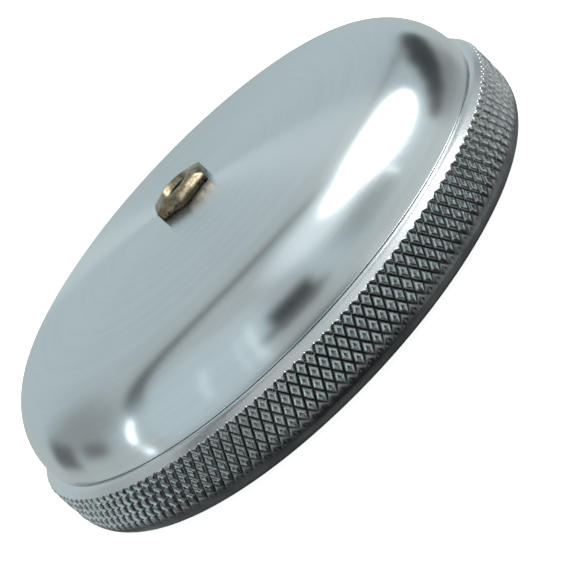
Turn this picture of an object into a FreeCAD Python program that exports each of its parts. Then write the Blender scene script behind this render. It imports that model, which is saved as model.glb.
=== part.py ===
"""Vented breather cap: a domed aluminium cover on a knurled screw ring, with a brass vent valve in its
crown and a filter cartridge inside, screwed onto a bolt-down threaded neck.

Frame: millimetres, +Z up along the cap's axis, origin on the axis at the neck's bottom face.
Every length below is a cell of the sheet "dims", and every sketch and feature is bound to those cells.
"""

import FreeCAD, Part
import Sketcher
import math
import os

DIMENSIONS = {
    # threaded neck, which bolts down
    "neck_radius": 36.3,
    "neck_bore": 31.0,
    "neck_height": 8.0,
    "neck_floor": 3.5,
    "neck_chamfer": 0.6,
    "outlet_radius": 12.0,
    "bolt_circle": 46.0,
    "bolt_count": 4,
    "bolt_hole": 2.25,
    "bolt_seat": 4.2,
    "bolt_seat_depth": 1.5,
    "seal_groove_in": 14.0,
    "seal_groove_out": 17.0,
    "seal_groove_depth": 1.9,
    "seal_ring_radius": 15.5,
    "seal_ring_wire": 0.9,
    # knurled ring
    "rim_radius": 45.0,
    "rim_bottom": 0.3,
    "rim_rounding": 6.0,
    "knurl_top": 11.2,
    "ring_top": 12.4,
    "ring_land": 43.35,
    "thread_bore": 36.38,
    "relief_bore": 37.4,
    "relief_bottom": 7.9,
    "web_bottom": 11.0,
    "web_bore": 34.5,
    "mouth_chamfer": 0.8,
    "spigot_in": 39.6,
    "spigot_height": 2.8,
    "spigot_gap": 0.08,
    "spigot_groove_bottom": 13.1,
    "spigot_groove_width": 1.3,
    "spigot_groove_depth": 1.05,
    "dome_seal_wire": 0.55,
    # domed cover
    "dome_radius": 43.15,
    "dome_wall": 1.6,
    "dome_edge_radius": 10.8,
    "dome_shoulder": 13.6,
    "crown_edge_radius": 33.88,
    "crown_edge_height": 24.29,
    "crown_inside_radius": 33.65,
    "crown_inside_height": 22.71,
    "dome_height": 26.7,
    "dome_crown_radius": 239.5,
    "dome_lip_rounding": 0.35,
    "vent_hole": 3.05,
    # brass vent
    "hex_across_flats": 9.0,
    "hex_height": 2.2,
    "hex_top_radius": 2.8,
    "hex_bevel_run": 3.0,
    "hex_bevel_drop": 1.05,
    "mouth_radius": 2.5,
    "mouth_depth": 1.7,
    "throat_radius": 1.2,
    "throat_length": 0.8,
    "chamber_radius": 2.0,
    "stem_radius": 3.0,
    "journal_radius": 2.9,
    "journal_top": 18.2,
    "stem_end": 12.2,
    "port_radius": 0.6,
    "port_height": 18.95,
    "seat_bore": 1.1,
    "seat_thickness": 0.8,
    "ball_radius": 1.6,
    "ball_gap": 0.03,
    "plug_length": 2.0,
    "plug_slot": 0.5,
    "plug_gap": 0.02,
    "spring_radius": 1.35,
    "spring_wire": 0.16,
    "spring_turns": 7,
    "fibre_thickness": 0.8,
    "fibre_radius": 6.0,
    "fibre_clearance": 0.1,
    "nut_across_flats": 10.0,
    "nut_height": 2.8,
    "nut_bore": 3.03,
    # filter cartridge, which does not turn with the cap
    "gasket_in": 32.9,
    "gasket_out": 36.2,
    "gasket_thickness": 1.4,
    "flange_radius": 36.9,
    "plate_thickness": 1.0,
    "skirt_radius": 33.5,
    "plate_top": 17.4,
    "hub_radius": 6.0,
    "hub_bottom": 14.0,
    "hub_top": 17.9,
    "bush_radius": 4.2,
    "bush_bore": 2.95,
    "air_hole": 2.2,
    "inner_air_circle": 13.5,
    "inner_air_count": 8,
    "outer_air_circle": 24.5,
    "outer_air_count": 14,
    "slip_in": 34.8,
    "foam_in": 7.2,
    "foam_out": 32.3,
    "cartridge_gap": 0.1,
    "screen_thickness": 0.8,
    "screen_bottom": 11.0,
    "screen_hole": 1.5,
    "screen_rings": 6,
    "screen_pitch": 4.9,
    "clip_wire": 0.45,
    "clip_radius": 32.3,
    "clip_groove": 0.35,
    # thrust washer and circlip under the hub
    "washer_thickness": 0.6,
    "washer_radius": 5.4,
    "end_float": 0.1,
    "circlip_thickness": 0.6,
    "circlip_radius": 4.8,
    "circlip_groove": 2.45,
    "circlip_gap": 2.2,
}

HEAD_TURN = -10  # degrees from -Y to a corner of the vent's hexagon
ON_AXIS = 1e-9  # a coordinate smaller than this lies on the sketch axis


class Size:
    """A length with its value in millimetres and the sheet expression that gives it."""

    def __init__(self, value, text):
        self.value = float(value)
        self.text = text

    def __add__(self, other):
        other = as_size(other)
        return Size(self.value + other.value, f"({self.text} + {other.text})")

    def __sub__(self, other):
        other = as_size(other)
        return Size(self.value - other.value, f"({self.text} - {other.text})")

    def __mul__(self, factor):
        return Size(self.value * factor, f"({self.text} * {factor!r})")

    def __neg__(self):
        return Size(-self.value, f"(0 - {self.text})")


def as_size(value):
    return value if isinstance(value, Size) else Size(value, repr(float(value)))


def make_sheet(doc):
    """The sheet of driving dimensions, and a Size for each of its cells."""
    sheet = doc.addObject("Spreadsheet::Sheet", "dims")
    sizes = {}
    for row, (alias, value) in enumerate(DIMENSIONS.items(), start=1):
        sheet.set(f"A{row}", alias)
        sheet.set(f"B{row}", repr(value))
        sheet.setAlias(f"B{row}", alias)
        sizes[alias] = Size(value, f"dims.{alias}")
    doc.recompute()
    return sizes


doc = FreeCAD.newDocument("breather_cap")
d = make_sheet(doc)


# ---------------------------------------------------------------- building blocks


def new_body(name):
    body = doc.addObject("PartDesign::Body", name)
    body.Label = name
    return body


def new_sketch(body, name, plane, height=None):
    """An empty sketch on one of the body's own origin planes, raised by height along its normal."""
    sketch = body.newObject("Sketcher::SketchObject", f"{body.Name}_{name}")
    support = [f for f in body.Origin.OriginFeatures if f.Role == plane][0]
    sketch.AttachmentSupport = (support, [""])
    sketch.MapMode = "FlatFace"
    if height is not None:
        sketch.setExpression("AttachmentOffset.Base.z", as_size(height).text)
    return sketch


def pin_point(sketch, geometry, position, x, y):
    """Fixes a sketch point at (x, y) with constraints bound to the sheet."""
    for kind, size, axis in (("DistanceX", as_size(x), -2), ("DistanceY", as_size(y), -1)):
        if abs(size.value) < ON_AXIS:
            sketch.addConstraint(Sketcher.Constraint("PointOnObject", geometry, position, axis))
            continue
        ends = (-1, 1, geometry, position) if size.value > 0 else (geometry, position, -1, 1)
        index = sketch.addConstraint(Sketcher.Constraint(kind, *ends, abs(size.value)))
        sketch.setExpression(f"Constraints[{index}]", size.text if size.value > 0 else (-size).text)


def arc_middle(start, end, radius, side):
    """The middle point of the minor arc from start to end that bulges to the left (+1) or right (-1)."""
    chord = end - start
    half = chord.Length / 2
    rise = radius - math.sqrt(radius**2 - half**2)
    left = FreeCAD.Vector(-chord.y, chord.x, 0).normalize()
    return (start + end) * 0.5 + left * (side * rise)


def draw_outline(sketch, points, arcs=()):
    """A closed outline through points. arcs maps an edge's number to (radius, side it bulges to)."""
    arcs = dict(arcs)
    spots = [FreeCAD.Vector(as_size(x).value, as_size(y).value, 0) for x, y in points]
    first_ends = []
    for i, start in enumerate(spots):
        end = spots[(i + 1) % len(spots)]
        if i in arcs:
            radius, side = arcs[i]
            radius = as_size(radius)
            middle = arc_middle(start, end, radius.value, side)
            edge = sketch.addGeometry(Part.Arc(start, middle, end), False)
            index = sketch.addConstraint(Sketcher.Constraint("Radius", edge, radius.value))
            sketch.setExpression(f"Constraints[{index}]", radius.text)
        else:
            edge = sketch.addGeometry(Part.LineSegment(start, end), False)
        begins = (sketch.getPoint(edge, 1) - start).Length < (sketch.getPoint(edge, 2) - start).Length
        first_ends.append((edge, 1 if begins else 2))
    for i, (edge, position) in enumerate(first_ends):
        previous, first = first_ends[i - 1]
        sketch.addConstraint(Sketcher.Constraint("Coincident", previous, 3 - first, edge, position))
        pin_point(sketch, edge, position, *points[i])
    return sketch


def turn(body, name, points, arcs=(), cut=False):
    """Revolves an outline of (radius, height) points about the axis, adding or cutting material."""
    sketch = draw_outline(new_sketch(body, name, "XZ_Plane"), points, arcs)
    kind = "PartDesign::Groove" if cut else "PartDesign::Revolution"
    feature = body.newObject(kind, f"{body.Name}_{name}_turn")
    feature.Profile = sketch
    feature.ReferenceAxis = (sketch, ["V_Axis"])
    feature.Angle = 360
    doc.recompute()
    return feature


def ring(name, inner, outer, bottom, top):
    """A plain turned ring with a rectangular section."""
    body = new_body(name)
    turn(body, "section", [(inner, bottom), (outer, bottom), (outer, top), (inner, top)])
    return body


def wire_ring(name, radius, wire, height):
    """A ring of round section, as an O-ring or a wire clip is."""
    body = new_body(name)
    sketch = new_sketch(body, "section", "XZ_Plane")
    add_circle(sketch, radius, height, wire)
    feature = body.newObject("PartDesign::Revolution", f"{name}_turn")
    feature.Profile = sketch
    feature.ReferenceAxis = (sketch, ["V_Axis"])
    feature.Angle = 360
    doc.recompute()
    return body


def add_circle(sketch, x, y, radius):
    centre = FreeCAD.Vector(as_size(x).value, as_size(y).value, 0)
    radius = as_size(radius)
    circle = sketch.addGeometry(Part.Circle(centre, FreeCAD.Vector(0, 0, 1), radius.value), False)
    pin_point(sketch, circle, 3, x, y)
    index = sketch.addConstraint(Sketcher.Constraint("Radius", circle, radius.value))
    sketch.setExpression(f"Constraints[{index}]", radius.text)


def drill_down(body, name, x, radius, top, depth):
    """A round pocket from height top down by depth, with its axis at (x, 0). The cut must take material."""
    before = body.Shape.Volume
    sketch = new_sketch(body, name, "XY_Plane", top)
    add_circle(sketch, x, 0, radius)
    pocket = body.newObject("PartDesign::Pocket", f"{body.Name}_{name}_pocket")
    pocket.Profile = sketch
    pocket.setExpression("Length", as_size(depth).text)
    doc.recompute()
    if body.Shape.Volume >= before:
        raise ValueError(f"{body.Name}: {name} cut nothing")
    return pocket


def repeat_around(body, feature, count):
    """Repeats a feature around the axis."""
    pattern = body.newObject("PartDesign::PolarPattern", f"{feature.Name}_pattern")
    pattern.Originals = [feature]
    pattern.Axis = (feature.Profile[0], ["N_Axis"])
    pattern.Angle = 360
    pattern.Occurrences = int(count.value)
    pattern.setExpression("Occurrences", count.text)
    body.Tip = pattern
    doc.recompute()
    return pattern


def pad_hexagon(body, name, across_flats, bottom, height, turn_degrees=0):
    """A hexagonal prism with a corner facing -Y, or turned from there by some degrees."""
    sketch = new_sketch(body, name, "XY_Plane", bottom)
    corner = across_flats * (1 / math.sqrt(3))
    angles = [math.radians(turn_degrees - 90 + 60 * k) for k in range(6)]
    points = [(corner * math.cos(angle), corner * math.sin(angle)) for angle in angles]
    draw_outline(sketch, points)
    pad = body.newObject("PartDesign::Pad", f"{body.Name}_{name}_pad")
    pad.Profile = sketch
    pad.setExpression("Length", as_size(height).text)
    doc.recompute()
    return pad


# ---------------------------------------------------------------- heights that several pieces share

carrier_bottom = d["neck_height"] + d["gasket_thickness"]
flange_top = carrier_bottom + d["plate_thickness"]
plate_bottom = d["plate_top"] - d["plate_thickness"]
skirt_inner = d["skirt_radius"] - d["plate_thickness"]
head_top = d["dome_height"] + d["hex_height"]
throat_top = head_top - d["mouth_depth"]
seat_top = throat_top - d["throat_length"]
seat_bottom = seat_top - d["seat_thickness"]
ball_below_seat = math.sqrt(DIMENSIONS["ball_radius"] ** 2 - DIMENSIONS["seat_bore"] ** 2)
ball_centre = seat_bottom - ball_below_seat - d["ball_gap"]
plug_top = d["stem_end"] + d["plug_length"]
cover_inside = d["dome_height"] - d["dome_wall"]
fibre_bottom = cover_inside - d["fibre_thickness"]
washer_bottom = d["hub_bottom"] - d["end_float"] - d["washer_thickness"]
circlip_bottom = washer_bottom - d["circlip_thickness"]
screen_top = d["screen_bottom"] + d["screen_thickness"]


# ---------------------------------------------------------------- neck, bolted to the tank or engine


def make_threaded_neck():
    """A shallow cup: the floor bolts down around the outlet, and the wall carries the outside thread."""
    body = new_body("threaded_neck")
    turn(
        body,
        "cup",
        [
            (d["outlet_radius"], 0),
            (d["neck_radius"] - d["neck_chamfer"], 0),
            (d["neck_radius"], d["neck_chamfer"]),
            (d["neck_radius"], d["neck_height"] - d["neck_chamfer"]),
            (d["neck_radius"] - d["neck_chamfer"], d["neck_height"]),
            (d["neck_bore"], d["neck_height"]),
            (d["neck_bore"], d["neck_floor"]),
            (d["outlet_radius"], d["neck_floor"]),
        ],
    )
    groove = [
        (d["seal_groove_in"], 0),
        (d["seal_groove_out"], 0),
        (d["seal_groove_out"], d["seal_groove_depth"]),
        (d["seal_groove_in"], d["seal_groove_depth"]),
    ]
    turn(body, "seal_groove", groove, cut=True)
    for name, radius, depth in (
        ("bolt_hole", d["bolt_hole"], d["neck_floor"]),
        ("bolt_seat", d["bolt_seat"], d["bolt_seat_depth"]),
    ):
        hole = drill_down(body, name, d["bolt_circle"] * 0.5, radius, d["neck_floor"], depth)
        repeat_around(body, hole, d["bolt_count"])
    return body


# ---------------------------------------------------------------- filter cartridge


def make_carrier_plate():
    """A pressed dish with a hub, air holes and a rim that holds the gasket down."""
    body = new_body("carrier_plate")
    turn(
        body,
        "dish",
        [
            (d["bush_radius"], d["hub_bottom"]),
            (d["hub_radius"], d["hub_bottom"]),
            (d["hub_radius"], plate_bottom),
            (skirt_inner, plate_bottom),
            (skirt_inner, carrier_bottom),
            (d["flange_radius"], carrier_bottom),
            (d["flange_radius"], flange_top),
            (d["skirt_radius"], flange_top),
            (d["skirt_radius"], d["plate_top"]),
            (d["hub_radius"], d["plate_top"]),
            (d["hub_radius"], d["hub_top"]),
            (d["bush_radius"], d["hub_top"]),
        ],
    )
    clip_height = d["screen_bottom"] - d["clip_wire"]
    groove = [
        (skirt_inner - 0.2, clip_height - d["clip_wire"]),
        (skirt_inner + d["clip_groove"], clip_height - d["clip_wire"]),
        (skirt_inner + d["clip_groove"], clip_height + d["clip_wire"]),
        (skirt_inner - 0.2, clip_height + d["clip_wire"]),
    ]
    turn(body, "clip_groove", groove, cut=True)
    for name in ("inner_air", "outer_air"):
        hole = drill_down(
            body, name, d[f"{name}_circle"], d["air_hole"], d["plate_top"], d["plate_thickness"]
        )
        repeat_around(body, hole, d[f"{name}_count"])
    return body


def make_filter_screen():
    """A perforated disc under the foam, with rings of holes around its middle."""
    body = new_body("filter_screen")
    section = [
        (0, d["screen_bottom"]),
        (d["foam_out"], d["screen_bottom"]),
        (d["foam_out"], screen_top),
        (0, screen_top),
    ]
    turn(body, "disc", section)
    for number in range(1, DIMENSIONS["screen_rings"] + 1):
        hole = drill_down(
            body,
            f"ring_{number}",
            d["screen_pitch"] * number,
            d["screen_hole"],
            screen_top,
            d["screen_thickness"],
        )
        repeat_around(body, hole, Size(6 * number, f"{6 * number}"))
    return body


def make_cartridge_rings():
    """The turned rings that go with the carrier plate."""
    gap = d["cartridge_gap"]
    ring("neck_gasket", d["gasket_in"], d["gasket_out"], d["neck_height"], carrier_bottom)
    ring("slip_ring", d["slip_in"], d["flange_radius"], flange_top, d["web_bottom"])
    ring("hub_bush", d["bush_bore"], d["bush_radius"], d["hub_bottom"], d["hub_top"])
    ring("filter_foam", d["foam_in"], d["foam_out"], screen_top, plate_bottom - gap)
    wire_ring("screen_clip", d["clip_radius"], d["clip_wire"], d["screen_bottom"] - d["clip_wire"])
    seal_height = d["seal_groove_depth"] - d["seal_ring_wire"]
    wire_ring("base_seal_ring", d["seal_ring_radius"], d["seal_ring_wire"], seal_height)


# ---------------------------------------------------------------- cap: ring, cover and vent


def make_knurled_ring():
    """The screw ring: a rounded foot, the grip, a bevelled shoulder, the thread bore and a spigot."""
    body = new_body("knurled_ring")
    foot = d["rim_radius"] - d["rim_rounding"]
    spigot_out = d["dome_radius"] - d["dome_wall"] - d["spigot_gap"]
    spigot_top = d["ring_top"] + d["spigot_height"]
    points = [
        (d["thread_bore"] + d["mouth_chamfer"], d["rim_bottom"]),
        (foot, d["rim_bottom"]),
        (d["rim_radius"], d["rim_bottom"] + d["rim_rounding"]),
        (d["rim_radius"], d["knurl_top"]),
        (d["ring_land"], d["ring_top"]),
        (spigot_out, d["ring_top"]),
        (spigot_out, spigot_top),
        (d["spigot_in"], spigot_top),
        (d["spigot_in"], d["ring_top"]),
        (d["web_bore"], d["ring_top"]),
        (d["web_bore"], d["web_bottom"]),
        (d["relief_bore"], d["web_bottom"]),
        (d["relief_bore"], d["relief_bottom"]),
        (d["thread_bore"], d["relief_bottom"]),
        (d["thread_bore"], d["rim_bottom"] + d["mouth_chamfer"]),
    ]
    turn(body, "section", points, arcs={1: (d["rim_rounding"], -1)})
    groove_top = d["spigot_groove_bottom"] + d["spigot_groove_width"]
    groove = [
        (spigot_out - d["spigot_groove_depth"], d["spigot_groove_bottom"]),
        (d["dome_radius"], d["spigot_groove_bottom"]),
        (d["dome_radius"], groove_top),
        (spigot_out - d["spigot_groove_depth"], groove_top),
    ]
    turn(body, "seal_groove", groove, cut=True)
    seal_height = d["spigot_groove_bottom"] + d["spigot_groove_width"] * 0.5
    seal_radius = d["dome_radius"] - d["dome_wall"] - d["dome_seal_wire"]
    wire_ring("dome_seal_ring", seal_radius, d["dome_seal_wire"], seal_height)
    return body


def make_dome_cover():
    """A spun cover: shallow crown, round edge and short wall, all of one thickness."""
    body = new_body("dome_cover")
    wall = d["dome_wall"]
    inner = d["dome_radius"] - wall
    inner_edge = d["dome_edge_radius"] - wall
    lip = d["dome_lip_rounding"]
    points = [
        (inner, d["ring_top"]),
        (d["dome_radius"] - lip, d["ring_top"]),
        (d["dome_radius"], d["ring_top"] + lip),
        (d["dome_radius"], d["dome_shoulder"]),
        (d["crown_edge_radius"], d["crown_edge_height"]),
        (d["vent_hole"], d["dome_height"]),
        (d["vent_hole"], cover_inside),
        (d["crown_inside_radius"], d["crown_inside_height"]),
        (inner, d["dome_shoulder"]),
    ]
    crown = d["dome_crown_radius"]
    inner_crown = crown - wall
    outer_arcs = {1: (lip, -1), 3: (d["dome_edge_radius"], -1), 4: (crown, -1)}
    arcs = outer_arcs | {6: (inner_crown, 1), 7: (inner_edge, 1)}
    turn(body, "section", points, arcs)
    return body


def make_vent_body():
    """The brass vent: a bevelled hexagon head, a threaded stem and the ball chamber inside."""
    body = new_body("vent_body")
    stem = [
        (0, d["stem_end"]),
        (d["journal_radius"], d["stem_end"]),
        (d["journal_radius"], d["journal_top"]),
        (d["stem_radius"], d["journal_top"]),
        (d["stem_radius"], d["dome_height"]),
        (0, d["dome_height"]),
    ]
    turn(body, "stem", stem)
    pad_hexagon(body, "head", d["hex_across_flats"], d["dome_height"], d["hex_height"], HEAD_TURN)
    bevel_foot = d["hex_top_radius"] + d["hex_bevel_run"]
    bevel = [
        (d["hex_top_radius"], head_top),
        (bevel_foot, head_top - d["hex_bevel_drop"]),
        (bevel_foot, head_top + 1),
        (d["hex_top_radius"], head_top + 1),
    ]
    turn(body, "bevel", bevel, cut=True)
    bore = [
        (0, d["stem_end"] - 1),
        (d["chamber_radius"], d["stem_end"] - 1),
        (d["chamber_radius"], seat_top),
        (d["throat_radius"], seat_top),
        (d["throat_radius"], throat_top),
        (d["mouth_radius"], throat_top),
        (d["mouth_radius"], head_top + 1),
        (0, head_top + 1),
    ]
    turn(body, "bore", bore, cut=True)
    groove = [
        (d["circlip_groove"], circlip_bottom),
        (d["journal_radius"] + 1, circlip_bottom),
        (d["journal_radius"] + 1, washer_bottom),
        (d["circlip_groove"], washer_bottom),
    ]
    turn(body, "circlip_groove", groove, cut=True)
    drill_ports(body)
    return body


def drill_ports(body):
    """One hole right through the stem, from the ball's chamber to the space above the filter."""
    before = body.Shape.Volume
    sketch = new_sketch(body, "port", "XZ_Plane")
    add_circle(sketch, 0, d["port_height"], d["port_radius"])
    pocket = body.newObject("PartDesign::Pocket", "vent_body_port_pocket")
    pocket.Profile = sketch
    pocket.Midplane = True
    pocket.setExpression("Length", (d["stem_radius"] * 3).text)
    doc.recompute()
    if body.Shape.Volume >= before:
        raise ValueError("the vent's port cut nothing")


def make_vent_lock_nut():
    body = new_body("vent_lock_nut")
    pad_hexagon(body, "hexagon", d["nut_across_flats"], fibre_bottom - d["nut_height"], d["nut_height"])
    drill_down(body, "bore", 0, d["nut_bore"], fibre_bottom, d["nut_height"])
    return body


def make_vent_plug():
    """A slotted screw that closes the stem and carries the spring."""
    body = new_body("vent_plug")
    radius = d["chamber_radius"] - d["plug_gap"]
    turn(body, "shank", [(0, d["stem_end"]), (radius, d["stem_end"]), (radius, plug_top), (0, plug_top)])
    slot = new_sketch(body, "slot", "XZ_Plane")
    half = d["plug_slot"] * 0.5
    low = d["stem_end"] - 0.5
    high = d["stem_end"] + d["plug_slot"]
    draw_outline(slot, [(-half, low), (half, low), (half, high), (-half, high)])
    pocket = body.newObject("PartDesign::Pocket", "vent_plug_slot_pocket")
    pocket.Profile = slot
    pocket.Midplane = True
    pocket.setExpression("Length", (d["chamber_radius"] * 3).text)
    doc.recompute()
    return body


def make_check_ball():
    ball = doc.addObject("Part::Sphere", "check_ball")
    ball.Label = "check_ball"
    ball.setExpression("Radius", d["ball_radius"].text)
    ball.setExpression("Placement.Base.z", ball_centre.text)
    return ball


def make_vent_spring():
    """A light coil spring between the plug and the ball."""
    body = new_body("vent_spring")
    wire = d["spring_wire"]
    slack = 0.02
    bottom = plug_top + wire + slack
    below_ball = math.sqrt(DIMENSIONS["ball_radius"] ** 2 - DIMENSIONS["spring_radius"] ** 2)
    height = ball_centre - below_ball - wire - slack * 2 - bottom
    sketch = new_sketch(body, "wire", "XZ_Plane")
    add_circle(sketch, d["spring_radius"], bottom, wire)
    coil = body.newObject("PartDesign::AdditiveHelix", "vent_spring_coil")
    coil.Profile = sketch
    coil.ReferenceAxis = (sketch, ["V_Axis"])
    coil.Mode = "pitch-height-angle"
    coil.setExpression("Height", height.text)
    coil.setExpression("Pitch", f"({height.text}) / {d['spring_turns'].text}")
    doc.recompute()
    return body


def make_hub_circlip():
    """An open snap ring in the stem's groove."""
    slack = 0.02
    inner = d["circlip_groove"] + slack
    body = ring("hub_circlip", inner, d["circlip_radius"], circlip_bottom + slack, washer_bottom)
    gap = new_sketch(body, "gap", "XY_Plane", circlip_bottom - 0.5)
    half = d["circlip_gap"] * 0.5
    far = d["circlip_radius"] + 1
    draw_outline(gap, [(0, -half), (far, -half), (far, half), (0, half)])
    pocket = body.newObject("PartDesign::Pocket", "hub_circlip_gap_pocket")
    pocket.Profile = gap
    pocket.Reversed = True
    pocket.setExpression("Length", (d["circlip_thickness"] + 1).text)
    before = body.Shape.Volume
    doc.recompute()
    if body.Shape.Volume >= before:
        raise ValueError("the circlip's gap cut nothing")
    return body


def make_vent_rings():
    """The washers and the ball's seat in the vent."""
    fibre_bore = d["stem_radius"] + d["fibre_clearance"]
    fibre_top = cover_inside - d["fibre_clearance"]
    ring("vent_fibre_washer", fibre_bore, d["fibre_radius"], fibre_bottom, fibre_top)
    ring("ball_seat", d["seat_bore"], d["chamber_radius"] - d["plug_gap"], seat_bottom, seat_top)
    washer_top = washer_bottom + d["washer_thickness"]
    ring("thrust_washer", d["journal_radius"] + 0.05, d["washer_radius"], washer_bottom, washer_top)


# ---------------------------------------------------------------- checks and files


def check_document(parts):
    """Every object computed, and every part one sound solid."""
    for thing in doc.Objects:
        if {"Invalid", "Error"} & set(thing.State):
            raise ValueError(f"{thing.Name} failed: {thing.State}")
    for part in parts:
        shape = part.Shape
        if shape.isNull() or not shape.isValid() or len(shape.Solids) != 1:
            raise ValueError(f"{part.Label} is not one valid solid: {len(shape.Solids)} solids")


def write_parts(parts):
    os.makedirs("parts", exist_ok=True)
    for part in parts:
        part.Shape.exportStep(f"parts/{part.Label}.step")
        box = part.Shape.BoundBox
        print(f"{part.Label:20} {part.Shape.Volume:10.2f} mm3  z {box.ZMin:6.2f} to {box.ZMax:6.2f}")


def main():
    make_threaded_neck()
    make_carrier_plate()
    make_filter_screen()
    make_cartridge_rings()
    make_knurled_ring()
    make_dome_cover()
    make_vent_body()
    make_vent_lock_nut()
    make_vent_plug()
    make_vent_rings()
    make_hub_circlip()
    make_check_ball()
    make_vent_spring()
    doc.recompute()
    kinds = ("PartDesign::Body", "Part::Sphere")
    parts = [thing for thing in doc.Objects if thing.TypeId in kinds]
    check_document(parts)
    write_parts(parts)


main()
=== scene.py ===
"""Vented breather cap: the look of a turned aluminium dome on a knurled ring, with a brass vent in its crown.

Lengths are in millimetres in the constants and turned into metres by MM where meshes are made. The frame is
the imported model's: +Z up along the cap's axis, origin at the neck's underside.
"""

import math

import bmesh
import bpy
from mathutils import Matrix, Vector


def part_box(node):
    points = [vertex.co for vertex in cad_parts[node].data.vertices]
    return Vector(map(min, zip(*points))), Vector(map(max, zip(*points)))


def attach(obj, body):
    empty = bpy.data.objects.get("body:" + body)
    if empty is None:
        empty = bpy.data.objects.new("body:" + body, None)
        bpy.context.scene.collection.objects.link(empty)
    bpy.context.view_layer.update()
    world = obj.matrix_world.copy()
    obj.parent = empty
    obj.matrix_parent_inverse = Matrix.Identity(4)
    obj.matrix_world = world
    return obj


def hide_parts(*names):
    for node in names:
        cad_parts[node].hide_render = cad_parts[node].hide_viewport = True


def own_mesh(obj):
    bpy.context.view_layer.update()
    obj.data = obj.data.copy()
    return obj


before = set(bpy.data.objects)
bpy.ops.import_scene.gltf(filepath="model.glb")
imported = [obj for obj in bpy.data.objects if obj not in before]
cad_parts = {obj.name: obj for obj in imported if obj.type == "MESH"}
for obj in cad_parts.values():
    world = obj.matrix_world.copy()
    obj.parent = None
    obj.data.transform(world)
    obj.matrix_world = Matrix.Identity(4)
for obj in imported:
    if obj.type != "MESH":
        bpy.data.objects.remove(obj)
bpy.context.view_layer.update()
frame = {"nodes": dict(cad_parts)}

MM = 0.001


def top_of(node):
    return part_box(node)[1][2] / MM


def bottom_of(node):
    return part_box(node)[0][2] / MM


def radius_of(node):
    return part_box(node)[1][0] / MM


# ---------------------------------------------------------------- sizes, in millimetres

RIM_RADIUS = radius_of("knurled_ring")
RIM_BOTTOM = bottom_of("knurled_ring")
RIM_ROUNDING = 6.0
KNURL_TOP = 11.2
RING_TOP = KNURL_TOP + 1.2
RING_LAND = RIM_RADIUS - 1.65
SPIGOT_TOP = top_of("knurled_ring")
SPIGOT_IN = 39.6
SPIGOT_OUT = 41.45
WEB_BORE = 34.5
WEB_BOTTOM = 11.0
RELIEF_BORE = 37.4
RELIEF_BOTTOM = 7.9
THREAD_BORE = 36.38
MOUTH_CHAMFER = 0.8
THREAD_PITCH = 2.0
THREAD_DEPTH = 0.95
THREAD_STEP = 0.2
THREAD_FADE = 3  # rings over which a thread fades out at each end

KNURL_TEETH = 154
KNURL_STEPS = 10  # mesh steps across one diamond, so that its edges fall on mesh edges
KNURL_DEPTH = 0.62
KNURL_LEAD = math.radians(30)
PIT = 1.7  # mesh steps from a crest's middle to the edge of the pit in it
PIT_FLOOR = 0.4  # height of the pit's floor, where a groove is 0 and a crest is 1
WEAR = 0.18  # the most that a crest is worn down, on the same scale
FIRST_ROW_BELOW_TOP = 1.12
KNURL_BOTTOM = 2.9
KNURL_FADE = 2.6  # the knurl grows shallower over this height above its bottom
KNURL_END = KNURL_TOP + 0.36
KNURL_RUNOUT = 0.35  # and over this height below its end
KNURL_MESH_TOP = KNURL_TOP + 0.62
FINE_ROWS = 3  # mesh rows to one step, above the first crests
COARSE = 5  # knurl columns to one column of the smooth surfaces
JOIN = 0.05  # height between the knurl's mesh and the smooth surfaces beside it

DOME_RADIUS = radius_of("dome_cover")
DOME_TOP = top_of("dome_cover")
DOME_BOTTOM = bottom_of("dome_cover")
DOME_WALL = 1.6
DOME_EDGE = 10.8
DOME_LIP = 0.35
SEAM = 0.06
SEAM_DEPTH = 0.9
CROWN_RADIUS = 239.5
VENT_HOLE = 3.05
VENT_TOP = top_of("vent_body")
VENT_EDGE = 0.14
MOUTH_RADIUS = 2.5

NECK_RADIUS = radius_of("threaded_neck")
NECK_TOP = top_of("threaded_neck")
NECK_BORE = 31.0
NECK_FLOOR = 3.5
NECK_CHAMFER = 0.6
NECK_LIP = 0.2
NECK_FILLET = 0.5
OUTLET_LIP = 0.3
OUTLET_RADIUS = 12.0
BOLTS = 4
BOLT_CIRCLE = 46.0
BOLT_HOLE = 2.25
BOLT_SEAT = 4.2
BOLT_SEAT_DEPTH = 1.5
SEAL_GROOVE = (14.0, 17.0, 1.9)

BALL_RADIUS = radius_of("check_ball")
BALL_CENTRE = top_of("check_ball") - BALL_RADIUS
PLUG_TOP = top_of("vent_plug")
SPRING_RADIUS = 1.35
SPRING_WIRE = 0.16
SPRING_TURNS = 7
SPRING_SLACK = 0.01

FOAM_INNER = 7.2
FOAM_OUTER = radius_of("filter_foam")
FOAM_BOTTOM = bottom_of("filter_foam")
FOAM_TOP = top_of("filter_foam")
FOAM_EDGE = 0.5
FOAM_CLEAR = 0.05
FOAM_DENT = 0.05  # share of the half height that the deepest dents take


# ---------------------------------------------------------------- mesh helpers


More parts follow.
